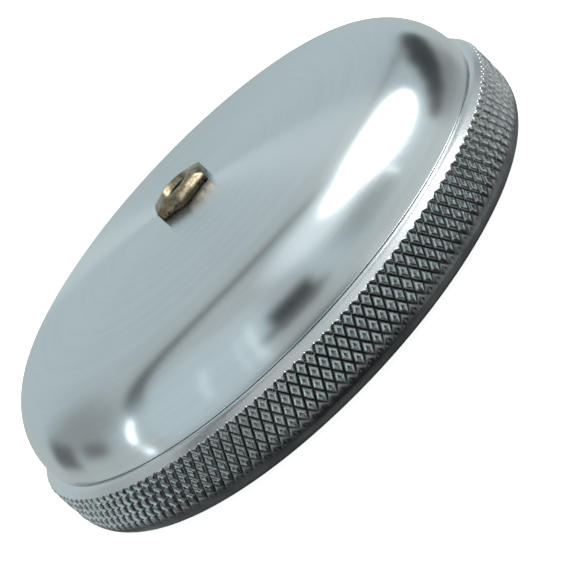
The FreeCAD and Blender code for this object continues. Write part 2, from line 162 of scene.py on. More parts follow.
class Surface:
    """A mesh built from rings of vertices round the Z axis."""

    def __init__(self):
        self.points = []
        self.faces = []

    def ring(self, count, radius, height):
        """A ring of count vertices. radius is a number, or a function of the vertex's number."""
        start = len(self.points)
        for i in range(count):
            turn = 2 * math.pi * i / count
            r = radius(i) if callable(radius) else radius
            self.points.append((r * math.cos(turn) * MM, r * math.sin(turn) * MM, height * MM))
        return range(start, start + count)

    def bridge(self, low, high, falling=None):
        """Joins two rings. falling(i) says which way the quad at column i is split, None leaves quads."""
        if len(low) != len(high):
            self.bridge_uneven(low, high)
            return
        n = len(low)
        for i in range(n):
            a, b, c, d = low[i], low[(i + 1) % n], high[(i + 1) % n], high[i]
            if falling is None:
                self.faces.append((a, b, c, d))
            elif falling(i):
                self.faces.extend(((a, b, d), (b, c, d)))
            else:
                self.faces.extend(((a, b, c), (a, c, d)))

    def bridge_uneven(self, low, high):
        """Joins a coarse ring to a fine one, one coarse column to several fine ones."""
        fine_is_high = len(high) > len(low)
        fine, coarse = (high, low) if fine_is_high else (low, high)
        share = len(fine) // len(coarse)
        for k in range(len(coarse)):
            edge = [fine[(k * share + j) % len(fine)] for j in range(share + 1)]
            pair = [coarse[k], coarse[(k + 1) % len(coarse)]]
            self.faces.append(tuple(pair + edge[::-1]) if fine_is_high else tuple(edge + pair[::-1]))

    def outline(self, count, points):
        """Rings through (radius, height) points, each joined to the one before."""
        rings = [self.ring(count, r, z) for r, z in points]
        for low, high in zip(rings, rings[1:]):
            self.bridge(low, high)
        return rings

    def build(self, name, sharp_degrees=30):
        mesh = bpy.data.meshes.new(name)
        mesh.from_pydata(self.points, [], self.faces)
        mesh.validate()
        return finish_mesh(name, mesh, sharp_degrees)


def finish_mesh(name, mesh, sharp_degrees=30):
    """A piece from a mesh, with its faces turned outwards and smooth between sharp edges."""
    work = bmesh.new()
    work.from_mesh(mesh)
    bmesh.ops.remove_doubles(work, verts=work.verts, dist=1e-7)
    bmesh.ops.recalc_face_normals(work, faces=work.faces)
    work.to_mesh(mesh)
    work.free()
    mesh.shade_smooth()
    mesh.set_sharp_from_angle(angle=math.radians(sharp_degrees))
    piece = bpy.data.objects.new(name, mesh)
    bpy.context.scene.collection.objects.link(piece)
    return piece


def arc(centre, radius, start, end, steps):
    """Points on an arc in the (radius, height) plane. Angles are in degrees from the outward direction."""
    points = []
    for k in range(steps + 1):
        angle = math.radians(start + (end - start) * k / steps)
        points.append((centre[0] + radius * math.cos(angle), centre[1] + radius * math.sin(angle)))
    return points


def stretch(start, end, steps):
    """Points on a straight run, with neither its start nor its end."""
    return [
        (start[0] + (end[0] - start[0]) * k / steps, start[1] + (end[1] - start[1]) * k / steps)
        for k in range(1, steps)
    ]


def stand_for(piece, node, body):
    """The piece takes a CAD node's place on its body."""
    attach(piece, body)
    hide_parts(node)
    return piece


# ---------------------------------------------------------------- domed cover


def dome_profile():
    """The cover's closed outline: outside from the vent hole to the lip, then back along the inside."""
    inset = DOME_RADIUS - DOME_EDGE
    lean = math.degrees(math.asin(inset / (CROWN_RADIUS - DOME_EDGE)))
    crown_centre = (0, DOME_TOP - CROWN_RADIUS)
    edge_centre = (inset, crown_centre[1] + (CROWN_RADIUS - DOME_EDGE) * math.cos(math.radians(lean)))
    at_hole = math.degrees(math.asin(VENT_HOLE / CROWN_RADIUS))
    outside = arc(crown_centre, CROWN_RADIUS, 90 - at_hole, 90 - lean, 24)
    outside += arc(edge_centre, DOME_EDGE, 90 - lean, 0, 36)[1:]
    outside += arc((DOME_RADIUS - DOME_LIP, DOME_BOTTOM + SEAM + DOME_LIP), DOME_LIP, 0, -90, 5)
    outside += [(DOME_RADIUS - SEAM_DEPTH, DOME_BOTTOM + SEAM), (DOME_RADIUS - SEAM_DEPTH, DOME_BOTTOM)]
    inside = [(DOME_RADIUS - DOME_WALL, DOME_BOTTOM)]
    inside += arc(edge_centre, DOME_EDGE - DOME_WALL, 0, 90 - lean, 12)
    inside += arc(crown_centre, CROWN_RADIUS - DOME_WALL, 90 - lean, 90 - at_hole, 8)[1:]
    return outside + inside


def make_dome():
    surface = Surface()
    rings = surface.outline(480, dome_profile())
    surface.bridge(rings[-1], rings[0])
    dome = surface.build("dome_shell")
    return stand_for(dome, "dome_cover", "cap")


# ---------------------------------------------------------------- knurled ring


def knurl_height(i, j, columns):
    """Height of the knurl, 0 in a groove and 1 on a crest, at column i and row j of the knurl's own mesh."""
    i = i % columns
    rising = (i + j) / KNURL_STEPS
    falling = (i - j) / KNURL_STEPS
    level = KNURL_STEPS * max(abs(rising % 1 - 0.5), abs(falling % 1 - 0.5))
    key = math.floor(rising) * 12.9898 + math.floor(falling) * 78.233
    wear = abs(math.sin(key) * 43758.5453) % 1
    if level > PIT:
        height = 1 - ((level - PIT) / (KNURL_STEPS / 2 - PIT)) ** 2
    else:
        height = PIT_FLOOR + (1 - PIT_FLOOR) * (level / PIT) ** 2
    return height * (1 - WEAR * wear)


def rim_radius_at(z):
    """The rim's radius before knurling, with its rounded foot and its bevelled shoulder."""
    if z > KNURL_TOP:
        return RIM_RADIUS - (z - KNURL_TOP) * (RIM_RADIUS - RING_LAND) / (RING_TOP - KNURL_TOP)
    drop = RIM_BOTTOM + RIM_ROUNDING - z
    if drop <= 0:
        return RIM_RADIUS
    return RIM_RADIUS - RIM_ROUNDING + math.sqrt(max(0.0, RIM_ROUNDING**2 - drop**2))


def add_knurl(surface):
    """The knurled band, from its smooth foot to just inside the shoulder. Returns its rings and its top."""
    columns = KNURL_TEETH * KNURL_STEPS
    step_up = 2 * math.pi * RIM_RADIUS / KNURL_TEETH / math.tan(KNURL_LEAD) / KNURL_STEPS
    first_row = KNURL_TOP - FIRST_ROW_BELOW_TOP
    crest = KNURL_STEPS // 2
    lowest = crest - math.floor((first_row - KNURL_BOTTOM) / step_up)
    highest = crest + math.ceil((KNURL_MESH_TOP - first_row) / step_up * FINE_ROWS)
    rings = []
    for j in range(lowest, highest + 1):
        row = min(j, crest) + max(0, j - crest) / FINE_ROWS
        z = first_row + (row - crest) * step_up
        smooth = rim_radius_at(z)
        fade = min(1.0, (z - KNURL_BOTTOM) / KNURL_FADE, (KNURL_END - z) / KNURL_RUNOUT)
        depth = KNURL_DEPTH * max(0.0, fade)

        def radius(i, row=row, smooth=smooth, depth=depth):
            cut = depth * (1 - knurl_height(i, row, columns))
            if row > crest:
                return min(smooth, RIM_RADIUS - cut)
            return smooth - cut

        rings.append(surface.ring(columns, radius, z))
        if len(rings) > 1:

            def falls(i, row=row - 0.5):
                rising = (i + 0.5 + row) / KNURL_STEPS % 1 - 0.5
                falling = (i + 0.5 - row) / KNURL_STEPS % 1 - 0.5
                return abs(rising) > abs(falling)

            surface.bridge(rings[-2], rings[-1], falls)
    return rings, z


def thread_wave(turn, z):
    """0 to 1 across one thread, with narrow flats at crest and root."""
    phase = (z / THREAD_PITCH - turn) % 1
    steepness, flat = 2.5, 0.125
    return min(1.0, max(0.0, steepness * abs(phase - 0.5) - flat))


def thread_rings(surface, count, radius, depth, bottom, top):
    """Rings up a threaded wall, cut depth deep (negative is outwards), fading out at both ends."""
    steps = round((top - bottom) / THREAD_STEP)
    rings = []
    for k in range(steps + 1):
        z = bottom + (top - bottom) * k / steps
        fade = min(1.0, k / THREAD_FADE, (steps - k) / THREAD_FADE)

        def cut(i, z=z, fade=fade):
            return radius - depth * fade * thread_wave(i / count, z)

        rings.append(surface.ring(count, cut, z))
    return rings


def chain(surface, rings):
    for low, high in zip(rings, rings[1:]):
        surface.bridge(low, high)


def make_grip_ring():
    """The screw ring: knurl, shoulder, spigot, web, relief, thread and foot, in one closed surface."""
    surface = Surface()
    count = KNURL_TEETH * KNURL_STEPS // COARSE
    knurl, knurl_end = add_knurl(surface)
    shoulder = [(rim_radius_at(knurl_end + JOIN), knurl_end + JOIN)]
    shoulder += [(RING_LAND + 0.06, RING_TOP - 0.045), (RING_LAND - 0.06, RING_TOP)]
    shoulder += [(SPIGOT_OUT, RING_TOP), (SPIGOT_OUT, SPIGOT_TOP), (SPIGOT_IN, SPIGOT_TOP)]
    shoulder += [(SPIGOT_IN, RING_TOP), (WEB_BORE, RING_TOP), (WEB_BORE, WEB_BOTTOM)]
    shoulder += [(RELIEF_BORE, WEB_BOTTOM), (RELIEF_BORE, RELIEF_BOTTOM)]
    upper = [surface.ring(count, r, z) for r, z in shoulder]
    thread_low = RIM_BOTTOM + MOUTH_CHAMFER
    thread = thread_rings(surface, count, THREAD_BORE, -THREAD_DEPTH, thread_low, RELIEF_BOTTOM)[::-1]
    foot = [(THREAD_BORE + MOUTH_CHAMFER, RIM_BOTTOM)]
    knurl_start = surface.points[knurl[0][0]][2] / MM
    centre = (RIM_RADIUS - RIM_ROUNDING, RIM_BOTTOM + RIM_ROUNDING)
    end_angle = math.degrees(math.asin((knurl_start - JOIN - centre[1]) / RIM_ROUNDING))
    foot += arc(centre, RIM_ROUNDING, -90, end_angle, 10)
    lower = [surface.ring(count, r, z) for r, z in foot]
    chain(surface, upper + thread + lower)
    surface.bridge(knurl[-1], upper[0])
    surface.bridge(lower[-1], knurl[0])
    ring = surface.build("grip_ring", sharp_degrees=24)
    return stand_for(ring, "knurled_ring", "cap")


# ---------------------------------------------------------------- threaded neck


def cylinder_cutter(name, x, y, radius, bottom, top):
    mesh = bpy.data.meshes.new(name)
    work = bmesh.new()
    middle = Matrix.Translation(Vector((x, y, (bottom + top) / 2)) * MM)
    size = {"radius1": radius * MM, "radius2": radius * MM, "depth": (top - bottom) * MM}
    bmesh.ops.create_cone(work, cap_ends=True, segments=48, matrix=middle, **size)
    work.to_mesh(mesh)
    work.free()
    cutter = bpy.data.objects.new(name, mesh)
    bpy.context.scene.collection.objects.link(cutter)
    return cutter


def cut_away(piece, cutters):
    """Cuts each cutter out of the piece, and removes the cutters."""
    for cutter in cutters:
        modifier = piece.modifiers.new("cut", "BOOLEAN")
        modifier.operation = "DIFFERENCE"
        modifier.solver = "EXACT"
        modifier.object = cutter
    bpy.context.view_layer.update()
    graph = bpy.context.evaluated_depsgraph_get()
    mesh = bpy.data.meshes.new_from_object(piece.evaluated_get(graph))
    piece.modifiers.clear()
    piece.data = mesh
    for cutter in cutters:
        bpy.data.objects.remove(cutter)


def make_neck():
    """The threaded neck: a shallow cup with a chamber, an outlet, a seal groove and four bolt holes."""
    surface = Surface()
    count = 360
    groove_in, groove_out, groove_depth = SEAL_GROOVE
    inner = [(NECK_RADIUS - NECK_CHAMFER, NECK_TOP), (NECK_BORE + NECK_LIP, NECK_TOP)]
    inner += [(NECK_BORE, NECK_TOP - NECK_LIP), (NECK_BORE, NECK_FLOOR + NECK_FILLET)]
    inner += [(NECK_BORE - NECK_FILLET, NECK_FLOOR), (OUTLET_RADIUS + OUTLET_LIP, NECK_FLOOR)]
    inner += [(OUTLET_RADIUS, NECK_FLOOR - OUTLET_LIP), (OUTLET_RADIUS, 0.0), (groove_in, 0.0)]
    inner += [(groove_in, groove_depth), (groove_out, groove_depth), (groove_out, 0.0)]
    inner += [(NECK_RADIUS - NECK_CHAMFER, 0.0)]
    thread_top = NECK_TOP - NECK_CHAMFER
    thread = thread_rings(surface, count, NECK_RADIUS, THREAD_DEPTH, NECK_CHAMFER, thread_top)
    inner_rings = [surface.ring(count, r, z) for r, z in inner]
    chain(surface, thread + inner_rings)
    surface.bridge(inner_rings[-1], thread[0])
    neck = surface.build("neck_cup")
    seat_bottom = NECK_FLOOR - BOLT_SEAT_DEPTH
    cutters = []
    for k in range(BOLTS):
        turn = 2 * math.pi * k / BOLTS
        x, y = BOLT_CIRCLE / 2 * math.cos(turn), BOLT_CIRCLE / 2 * math.sin(turn)
        cutters.append(cylinder_cutter(f"bolt_{k}", x, y, BOLT_HOLE, -1, NECK_FLOOR + 1))
        cutters.append(cylinder_cutter(f"seat_{k}", x, y, BOLT_SEAT, seat_bottom, NECK_FLOOR + 1))
    cut_away(neck, cutters)
    neck.data.set_sharp_from_angle(angle=math.radians(30))
    return stand_for(neck, "threaded_neck", "neck")


# ---------------------------------------------------------------- vent and filter


def softened_copy(node, name, width):
    """A copy of a CAD node's mesh with its edges rounded."""
    piece = frame["nodes"][node].copy()
    piece.data = piece.data.copy()
    piece.name = name
    piece.parent = None
    bpy.context.scene.collection.objects.link(piece)
    work = bmesh.new()
    work.from_mesh(piece.data)
    bmesh.ops.remove_doubles(work, verts=work.verts, dist=1e-7)
    limit = math.radians(2)
    bmesh.ops.dissolve_limit(work, angle_limit=limit, verts=work.verts, edges=work.edges)
    sharp = [e for e in work.edges if len(e.link_faces) == 2 and e.calc_face_angle(0) > math.radians(22)]
    bmesh.ops.bevel(work, geom=sharp, offset=width * MM, segments=2, affect="EDGES", clamp_overlap=True)
    bmesh.ops.recalc_face_normals(work, faces=work.faces)
    work.to_mesh(piece.data)
    work.free()
    piece.data.shade_smooth()
    piece.data.set_sharp_from_angle(angle=math.radians(30))
    return piece


def make_vent_fitting():
    fitting = softened_copy("vent_body", "vent_fitting", VENT_EDGE)
    return stand_for(fitting, "vent_body", "cap")


def spring_rise(turn, lowest, highest):
    """Height of the wire's middle after so many turns. The first and the last turn are closed."""
    closed = SPRING_WIRE * 2 + SPRING_SLACK
    if turn < 1:
        return lowest + closed * turn
    if turn > SPRING_TURNS - 1:
        return highest - closed * (SPRING_TURNS - turn)
    share = (turn - 1) / (SPRING_TURNS - 2)
    return lowest + closed + (highest - lowest - 2 * closed) * share


def make_spring():
    """The valve's spring, with closed ends."""
    reach = BALL_RADIUS + SPRING_WIRE + SPRING_SLACK
    highest = BALL_CENTRE - math.sqrt(reach**2 - SPRING_RADIUS**2)
    lowest = PLUG_TOP + SPRING_WIRE + SPRING_SLACK
    steps, sides = 40, 12
    surface = Surface()
    rings = []
    for k in range(SPRING_TURNS * steps + 1):
        turn = 2 * math.pi * k / steps
        outward = Vector((math.cos(turn), math.sin(turn), 0))
        middle = outward * SPRING_RADIUS + Vector((0, 0, spring_rise(k / steps, lowest, highest)))
        start = len(surface.points)
        for i in range(sides):
            lean = 2 * math.pi * i / sides
            point = middle + (outward * math.cos(lean) + Vector((0, 0, 1)) * math.sin(lean)) * SPRING_WIRE
            surface.points.append(tuple(point * MM))
        rings.append(range(start, start + sides))
    chain(surface, rings)
    surface.faces.extend((tuple(rings[0]), tuple(rings[-1])))
    spring = surface.build("spring_coil", sharp_degrees=50)
    stand_for(spring, "vent_spring", "cap")
    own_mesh(spring)
    return spring


def make_foam():
    """The foam ring, with soft edges and an uneven cut face."""
    surface = Surface()
    soft = FOAM_EDGE
    outer, inner = FOAM_OUTER - FOAM_CLEAR, FOAM_INNER + FOAM_CLEAR
    top, bottom = FOAM_TOP - FOAM_CLEAR, FOAM_BOTTOM + FOAM_CLEAR
    outline = arc((outer - soft, top - soft), soft, 0, 90, 4)
    outline += stretch((FOAM_OUTER - soft, top), (FOAM_INNER + soft, top), 24)
    outline += arc((inner + soft, top - soft), soft, 90, 180, 4)
    outline += arc((inner + soft, bottom + soft), soft, 180, 270, 4)
    outline += stretch((FOAM_INNER + soft, bottom), (FOAM_OUTER - soft, bottom), 24)
    outline += arc((outer - soft, bottom + soft), soft, 270, 360, 4)
    rings = surface.outline(180, outline)
    surface.bridge(rings[-1], rings[0])
    foam = surface.build("foam_pad", sharp_degrees=180)
    middle = (FOAM_TOP + FOAM_BOTTOM) / 2 * MM
    for vertex in foam.data.vertices:
        x, y, z = vertex.co
        dent = 0.5 + 0.5 * math.sin(x * 2100 + 3 * math.sin(y * 900)) * math.sin(y * 1900 + z * 700)
        vertex.co.z = z + (middle - z) * FOAM_DENT * dent
    return stand_for(foam, "filter_foam", "cartridge")


# ---------------------------------------------------------------- materials


class Nodes:
    """A short way to make shader nodes and links in one tree."""

    def __init__(self, tree):
        self.tree = tree
        tree.nodes.clear()

    def add(self, kind, inputs=(), **settings):
        node = self.tree.nodes.new(kind)
        for name, value in settings.items():
            setattr(node, name, value)
        for socket, value in dict(inputs).items():
            self.put(node.inputs[socket], value)
        return node

    def put(self, socket, value):
        if isinstance(value, bpy.types.NodeSocket):
            self.tree.links.new(value, socket)
        else:
            socket.default_value = value

    def math(self, operation, a, b=0.0, clamp=False):
        node = self.add("ShaderNodeMath", {0: a, 1: b}, operation=operation, use_clamp=clamp)
        return node.outputs[0]

    def vector(self, operation, a, b=(0, 0, 0), output=0):
        node = self.add("ShaderNodeVectorMath", {0: a, 1: b}, operation=operation)
        return node.outputs[output]

    def noise(self, place, scale, detail=3.0, roughness=0.5):
        inputs = {"Vector": place, "Scale": scale, "Detail": detail, "Roughness": roughness}
        return self.add("ShaderNodeTexNoise", inputs).outputs["Fac"]

    def step(self, value, low, high, out_low=0.0, out_high=1.0):
        """A smooth change from out_low to out_high as value goes from low to high."""
        inputs = {"Value": value, "From Min": low, "From Max": high, "To Min": out_low, "To Max": out_high}
        return self.add("ShaderNodeMapRange", inputs, interpolation_type="SMOOTHSTEP").outputs[0]

    def mix(self, amount, a, b):
        node = self.add("ShaderNodeMix", data_type="RGBA")
        self.put(node.inputs[0], amount)
        self.put(node.inputs[6], (*a, 1.0) if isinstance(a, tuple) else a)
        self.put(node.inputs[7], (*b, 1.0) if isinstance(b, tuple) else b)
        return node.outputs[2]

    def bump(self, height, strength, distance):
        inputs = {"Height": height, "Strength": strength, "Distance": distance}
        return self.add("ShaderNodeBump", inputs).outputs[0]


def new_material(name):
    material = bpy.data.materials.new(name)
    material.use_nodes = True
    nodes = Nodes(material.node_tree)
    shader = nodes.add("ShaderNodeBsdfPrincipled")
    nodes.output = nodes.add("ShaderNodeOutputMaterial")
    nodes.put(nodes.output.inputs["Surface"], shader.outputs[0])
    place = nodes.add("ShaderNodeTexCoord").outputs["Object"]
    return material, nodes, shader, place


def turned_place(nodes, place):
    """Texture coordinates that run with a lathe tool, and the distance from the axis.

    The first coordinate joins distance from the axis and height. The others change slowly with the angle.
    """
    parts = nodes.add("ShaderNodeSeparateXYZ", {0: place}).outputs
    across = nodes.add("ShaderNodeCombineXYZ", {0: parts[0], 1: parts[1]}).outputs[0]
    radius = nodes.vector("LENGTH", across, output=1)
    around = nodes.vector("NORMALIZE", across)
    bits = nodes.add("ShaderNodeSeparateXYZ", {0: around}).outputs
    slow_x = nodes.math("MULTIPLY", bits[0], 0.0006)
    slow_y = nodes.math("MULTIPLY", bits[1], 0.0006)
    run = nodes.math("ADD", radius, nodes.math("MULTIPLY", parts[2], 1.37))
    return nodes.add("ShaderNodeCombineXYZ", {0: run, 1: slow_x, 2: slow_y}).outputs[0], radius


def turned_metal(name, dark, light, roughness, spread, anisotropy, line_depth, sheen_share):
    """Metal turned on a lathe: fine rings of tool marks, with the sheen that they give."""
    material, nodes, shader, place = new_material(name)
    run, _ = turned_place(nodes, place)
    fine = nodes.noise(run, 9000, 4.0, 0.7)
    broad = nodes.noise(run, 900, 3.0, 0.6)
    cloud = nodes.noise(place, 60, 4.0, 0.6)
    marks = nodes.math("ADD", nodes.math("MULTIPLY", fine, 0.6), nodes.math("MULTIPLY", broad, 0.4))
    nodes.put(shader.inputs["Base Color"], nodes.mix(nodes.step(marks, 0.3, 0.7), dark, light))
    rough = nodes.math("MULTIPLY", nodes.math("ADD", marks, cloud), spread)
    nodes.put(shader.inputs["Roughness"], nodes.math("ADD", rough, roughness - spread))
    shader.inputs["Metallic"].default_value = 1.0
    shader.inputs["Anisotropic"].default_value = anisotropy
    shader.inputs["Anisotropic Rotation"].default_value = 0.25
    tangent = nodes.add("ShaderNodeTangent", direction_type="RADIAL", axis="Z").outputs[0]
    nodes.put(shader.inputs["Tangent"], tangent)
    grain = nodes.math("ADD", fine, nodes.math("MULTIPLY", nodes.noise(place, 4200, 3.0, 0.7), 0.8))
    normal = nodes.bump(grain, 0.35, line_depth)
    nodes.put(shader.inputs["Normal"], normal)
    sheen = {"Color": (*light, 1.0), "Roughness": 0.42, "Anisotropy": 0.75}
    broad_shine = nodes.add("ShaderNodeBsdfAnisotropic", sheen, distribution="GGX")
    nodes.put(broad_shine.inputs["Normal"], normal)
    nodes.put(broad_shine.inputs["Tangent"], tangent)
    both = nodes.add("ShaderNodeMixShader", {0: sheen_share, 1: shader.outputs[0], 2: broad_shine.outputs[0]})
    nodes.put(nodes.output.inputs["Surface"], both.outputs[0])
    return material


def knurled_metal(name):
    """Aluminium with its knurl grooves near black, partly grime and partly painted shade, and its crests left
    bright.
    """
    material, nodes, shader, place = new_material(name)
    run, radius = turned_place(nodes, place)
    grain = nodes.noise(place, 2600, 5.0, 0.65)
    marks = nodes.noise(run, 7000, 4.0, 0.7)
    smudge = nodes.noise(place, 180, 4.0, 0.6)
    height = nodes.add("ShaderNodeSeparateXYZ", {0: place}).outputs[2]
    knurled = nodes.step(height, (KNURL_TOP - 0.1) * MM, (KNURL_TOP + 0.2) * MM, 1.0, 0.0)
    # Painted shade and grime: near black deep in the knurl's grooves, in patches set by the smudge noise.
    deep = nodes.step(radius, (RIM_RADIUS - KNURL_DEPTH) * MM, (RIM_RADIUS - 0.1) * MM, 1.0, 0.0)
    grime_and_shade = nodes.math("MULTIPLY", deep, knurled)
    grime_and_shade = nodes.math("MULTIPLY", grime_and_shade, nodes.step(smudge, 0.2, 0.75, 0.75, 1.0), clamp=True)
    bare = nodes.mix(nodes.step(marks, 0.3, 0.7), (0.9, 0.92, 0.93), (0.96, 0.97, 0.97))
    # The knurled band's metal is a darker grey than the bare shoulder: the mottling is grain, the darker grey
    # painted shade.
    metal = nodes.mix(nodes.step(grain, 0.3, 0.7), (0.44, 0.46, 0.46), (0.8, 0.82, 0.81))
    metal = nodes.mix(knurled, bare, metal)
    nodes.put(shader.inputs["Base Color"], nodes.mix(grime_and_shade, metal, (0.11, 0.116, 0.116)))
    rough = nodes.math("ADD", nodes.math("MULTIPLY", grain, 0.12), 0.16)
    nodes.put(shader.inputs["Roughness"], nodes.math("ADD", rough, nodes.math("MULTIPLY", grime_and_shade, 0.15)))
    shader.inputs["Metallic"].default_value = 1.0
    nodes.put(shader.inputs["Normal"], nodes.bump(grain, 0.4, 0.00003))
    return material


def old_brass(name):
    """Machined brass, browned, with painted light on the faces that look up and painted shade, near black, in
    its mouth and at its foot.
    """
    material, nodes, shader, place = new_material(name)
    parts = nodes.add("ShaderNodeSeparateXYZ", {0: place}).outputs
    across = nodes.add("ShaderNodeCombineXYZ", {0: parts[0], 1: parts[1]}).outputs[0]
    radius = nodes.vector("LENGTH", across, output=1)
    patches = nodes.noise(place, 1100, 5.0, 0.7)
    scratches = nodes.noise(place, 5200, 4.0, 0.6)
    facing = nodes.add("ShaderNodeNewGeometry").outputs["Normal"]
    upward = nodes.add("ShaderNodeSeparateXYZ", {0: facing}).outputs[2]
    # Painted light: faces that look up get the lighter brass, the others the darker browned patina.
    lit_from_above = nodes.step(upward, 0.25, 0.7)
    aged = nodes.mix(nodes.step(patches, 0.38, 0.66), (0.16, 0.115, 0.07), (0.03, 0.022, 0.015))
    bright = nodes.mix(nodes.step(patches, 0.35, 0.7), (0.52, 0.44, 0.3), (0.2, 0.155, 0.1))
    colour = nodes.mix(lit_from_above, aged, bright)
    colour = nodes.mix(nodes.step(scratches, 0.56, 0.8), colour, (0.5, 0.43, 0.3))
    # Painted shade: near black deep in the mouth below its rim, and at the fitting's foot where it meets the
    # dome.
    in_mouth = nodes.step(radius, (MOUTH_RADIUS + 0.02) * MM, (MOUTH_RADIUS + 0.12) * MM, 1.0, 0.0)
    deep = nodes.step(parts[2], (VENT_TOP - 1.05) * MM, (VENT_TOP - 0.85) * MM, 1.0, 0.0)
    foot = nodes.step(parts[2], (DOME_TOP + 0.02) * MM, (DOME_TOP + 0.5) * MM, 0.9, 0.0)
    painted_shade = nodes.math("MAXIMUM", nodes.math("MULTIPLY", in_mouth, deep), foot)
    nodes.put(shader.inputs["Base Color"], nodes.mix(painted_shade, colour, (0.012, 0.01, 0.008)))
    nodes.put(shader.inputs["Roughness"], nodes.step(patches, 0.3, 0.7, 0.18, 0.36))
    shader.inputs["Metallic"].default_value = 1.0
    nodes.put(shader.inputs["Normal"], nodes.bump(scratches, 0.6, 0.00003))
    return material


def plain_metal(name, low, high, roughness):
    """Plated, rolled or drawn metal with a faint grain."""
    material, nodes, shader, place = new_material(name)
    grain = nodes.noise(place, 900, 5.0, 0.6)
    nodes.put(shader.inputs["Base Color"], nodes.mix(nodes.step(grain, 0.3, 0.7), low, high))
    nodes.put(shader.inputs["Roughness"], nodes.step(grain, 0.25, 0.75, roughness - 0.07, roughness + 0.07))
    shader.inputs["Metallic"].default_value = 1.0
    nodes.put(shader.inputs["Normal"], nodes.bump(grain, 0.3, 0.00004))
    return material


def dull_solid(name, low, high, roughness, scale, depth):
    """Rubber, plastic or fibre: fine mottling, an uneven gloss and a slight texture."""
    material, nodes, shader, place = new_material(name)
    mottle = nodes.noise(place, scale, 5.0, 0.6)
    nodes.put(shader.inputs["Base Color"], nodes.mix(nodes.step(mottle, 0.3, 0.7), low, high))
    nodes.put(shader.inputs["Roughness"], nodes.step(mottle, 0.3, 0.7, roughness - 0.08, roughness + 0.08))
    nodes.put(shader.inputs["Normal"], nodes.bump(mottle, 0.5, depth))
    return material


def open_foam(name):
    """Open-cell foam: dark pores between lighter strands."""
    material, nodes, shader, place = new_material(name)
    cells = nodes.add("ShaderNodeTexVoronoi", {"Vector": place, "Scale": 1100.0}, feature="DISTANCE_TO_EDGE")
    strand = nodes.step(cells.outputs["Distance"], 0.02, 0.16, 1.0, 0.0)
    nodes.put(shader.inputs["Base Color"], nodes.mix(strand, (0.02, 0.02, 0.022), (0.16, 0.16, 0.17)))
    shader.inputs["Roughness"].default_value = 0.85
    nodes.put(shader.inputs["Normal"], nodes.bump(strand, 0.8, 0.0003))
    return material


def paint(objects, material):
    for thing in objects:
        thing.data.materials.clear()
        thing.data.materials.append(material)


def paint_everything(dome, ring, neck, vent, coil, foam):
    nodes = frame["nodes"]
    bright = ((0.82, 0.87, 0.89), (0.89, 0.93, 0.94))
    paint([dome], turned_metal("satin_dome", *bright, 0.18, 0.025, 0.85, 0.000004, 0.09))
    paint([ring], knurled_metal("knurled_alloy"))
    duller = ((0.6, 0.61, 0.62), (0.74, 0.75, 0.76))
    paint([neck], turned_metal("neck_alloy", *duller, 0.3, 0.05, 0.5, 0.00001, 0.1))
    brass = old_brass("aged_brass")
    paint([vent, nodes["vent_lock_nut"], nodes["vent_plug"]], brass)
    zinc = plain_metal("zinc_plate", (0.55, 0.56, 0.54), (0.68, 0.68, 0.65), 0.34)
    paint([nodes["carrier_plate"], nodes["filter_screen"]], zinc)
    spring = plain_metal("spring_steel", (0.16, 0.16, 0.17), (0.3, 0.3, 0.31), 0.3)
    paint([coil, nodes["screen_clip"], nodes["hub_circlip"]], spring)
    paint([nodes["check_ball"]], plain_metal("ball_steel", (0.7, 0.71, 0.72), (0.8, 0.81, 0.82), 0.12))
    rubber = dull_solid("black_rubber", (0.012, 0.012, 0.012), (0.035, 0.035, 0.036), 0.6, 1500, 0.00005)
    paint([nodes[n] for n in ("neck_gasket", "base_seal_ring", "dome_seal_ring", "ball_seat")], rubber)
    acetal = dull_solid("white_acetal", (0.72, 0.71, 0.66), (0.82, 0.81, 0.76), 0.42, 800, 0.00002)
    paint([nodes[n] for n in ("hub_bush", "slip_ring", "thrust_washer")], acetal)
    fibre = dull_solid("red_fibre", (0.22, 0.035, 0.02), (0.38, 0.07, 0.04), 0.65, 2000, 0.00005)
    paint([nodes["vent_fibre_washer"]], fibre)
    paint([foam], open_foam("filter_foam"))


# ---------------------------------------------------------------- studio


def heading(azimuth, elevation):
    """A direction. Azimuth is in degrees from +Y towards +X, elevation in degrees up."""
    a, e = math.radians(azimuth), math.radians(elevation)
    return Vector((math.cos(e) * math.sin(a), math.cos(e) * math.cos(a), math.sin(e)))


def card_mask(nodes, look, azimuth, elevation, width, height, twist=0.0, soft=3.0):
    """1 where a direction meets a flat card, 0 elsewhere. Sizes are in degrees, middle to edge."""
    middle = heading(azimuth, elevation)
    side = middle.cross(Vector((0, 0, 1))).normalized()
    side = Matrix.Rotation(math.radians(twist), 3, middle) @ side
    rise = side.cross(middle)
    ahead = nodes.vector("DOT_PRODUCT", look, tuple(middle), output=1)
    safe = nodes.math("MAXIMUM", ahead, 0.01)
    mask = nodes.step(ahead, 0.02, 0.1)
    for axis, half in ((side, width), (rise, height)):
        along = nodes.vector("DOT_PRODUCT", look, tuple(axis), output=1)
        away = nodes.math("ABSOLUTE", nodes.math("DIVIDE", along, safe))
        low, high = math.tan(math.radians(max(0.2, half - soft))), math.tan(math.radians(half + soft))
        mask = nodes.math("MULTIPLY", mask, nodes.step(away, low, high, 1.0, 0.0))
    return mask


def disc_mask(nodes, look, azimuth, elevation, radius, soft):
    ahead = nodes.vector("DOT_PRODUCT", look, tuple(heading(azimuth, elevation)), output=1)
    edge_low = math.cos(math.radians(min(179.0, radius + soft)))
    return nodes.step(ahead, edge_low, math.cos(math.radians(max(0.1, radius - soft))))


def ring_mask(nodes, look, azimuth, elevation, radius, half, soft):
    """1 in a ring of directions round a middle direction, 0 elsewhere. Sizes are in degrees."""
    ahead = nodes.vector("DOT_PRODUCT", look, tuple(heading(azimuth, elevation)), output=1)
    away = nodes.math("SUBTRACT", nodes.math("ARCCOSINE", ahead), math.radians(radius))
    away = nodes.math("ABSOLUTE", away)
    return nodes.step(away, math.radians(max(0.1, half - soft)), math.radians(half + soft), 1.0, 0.0)


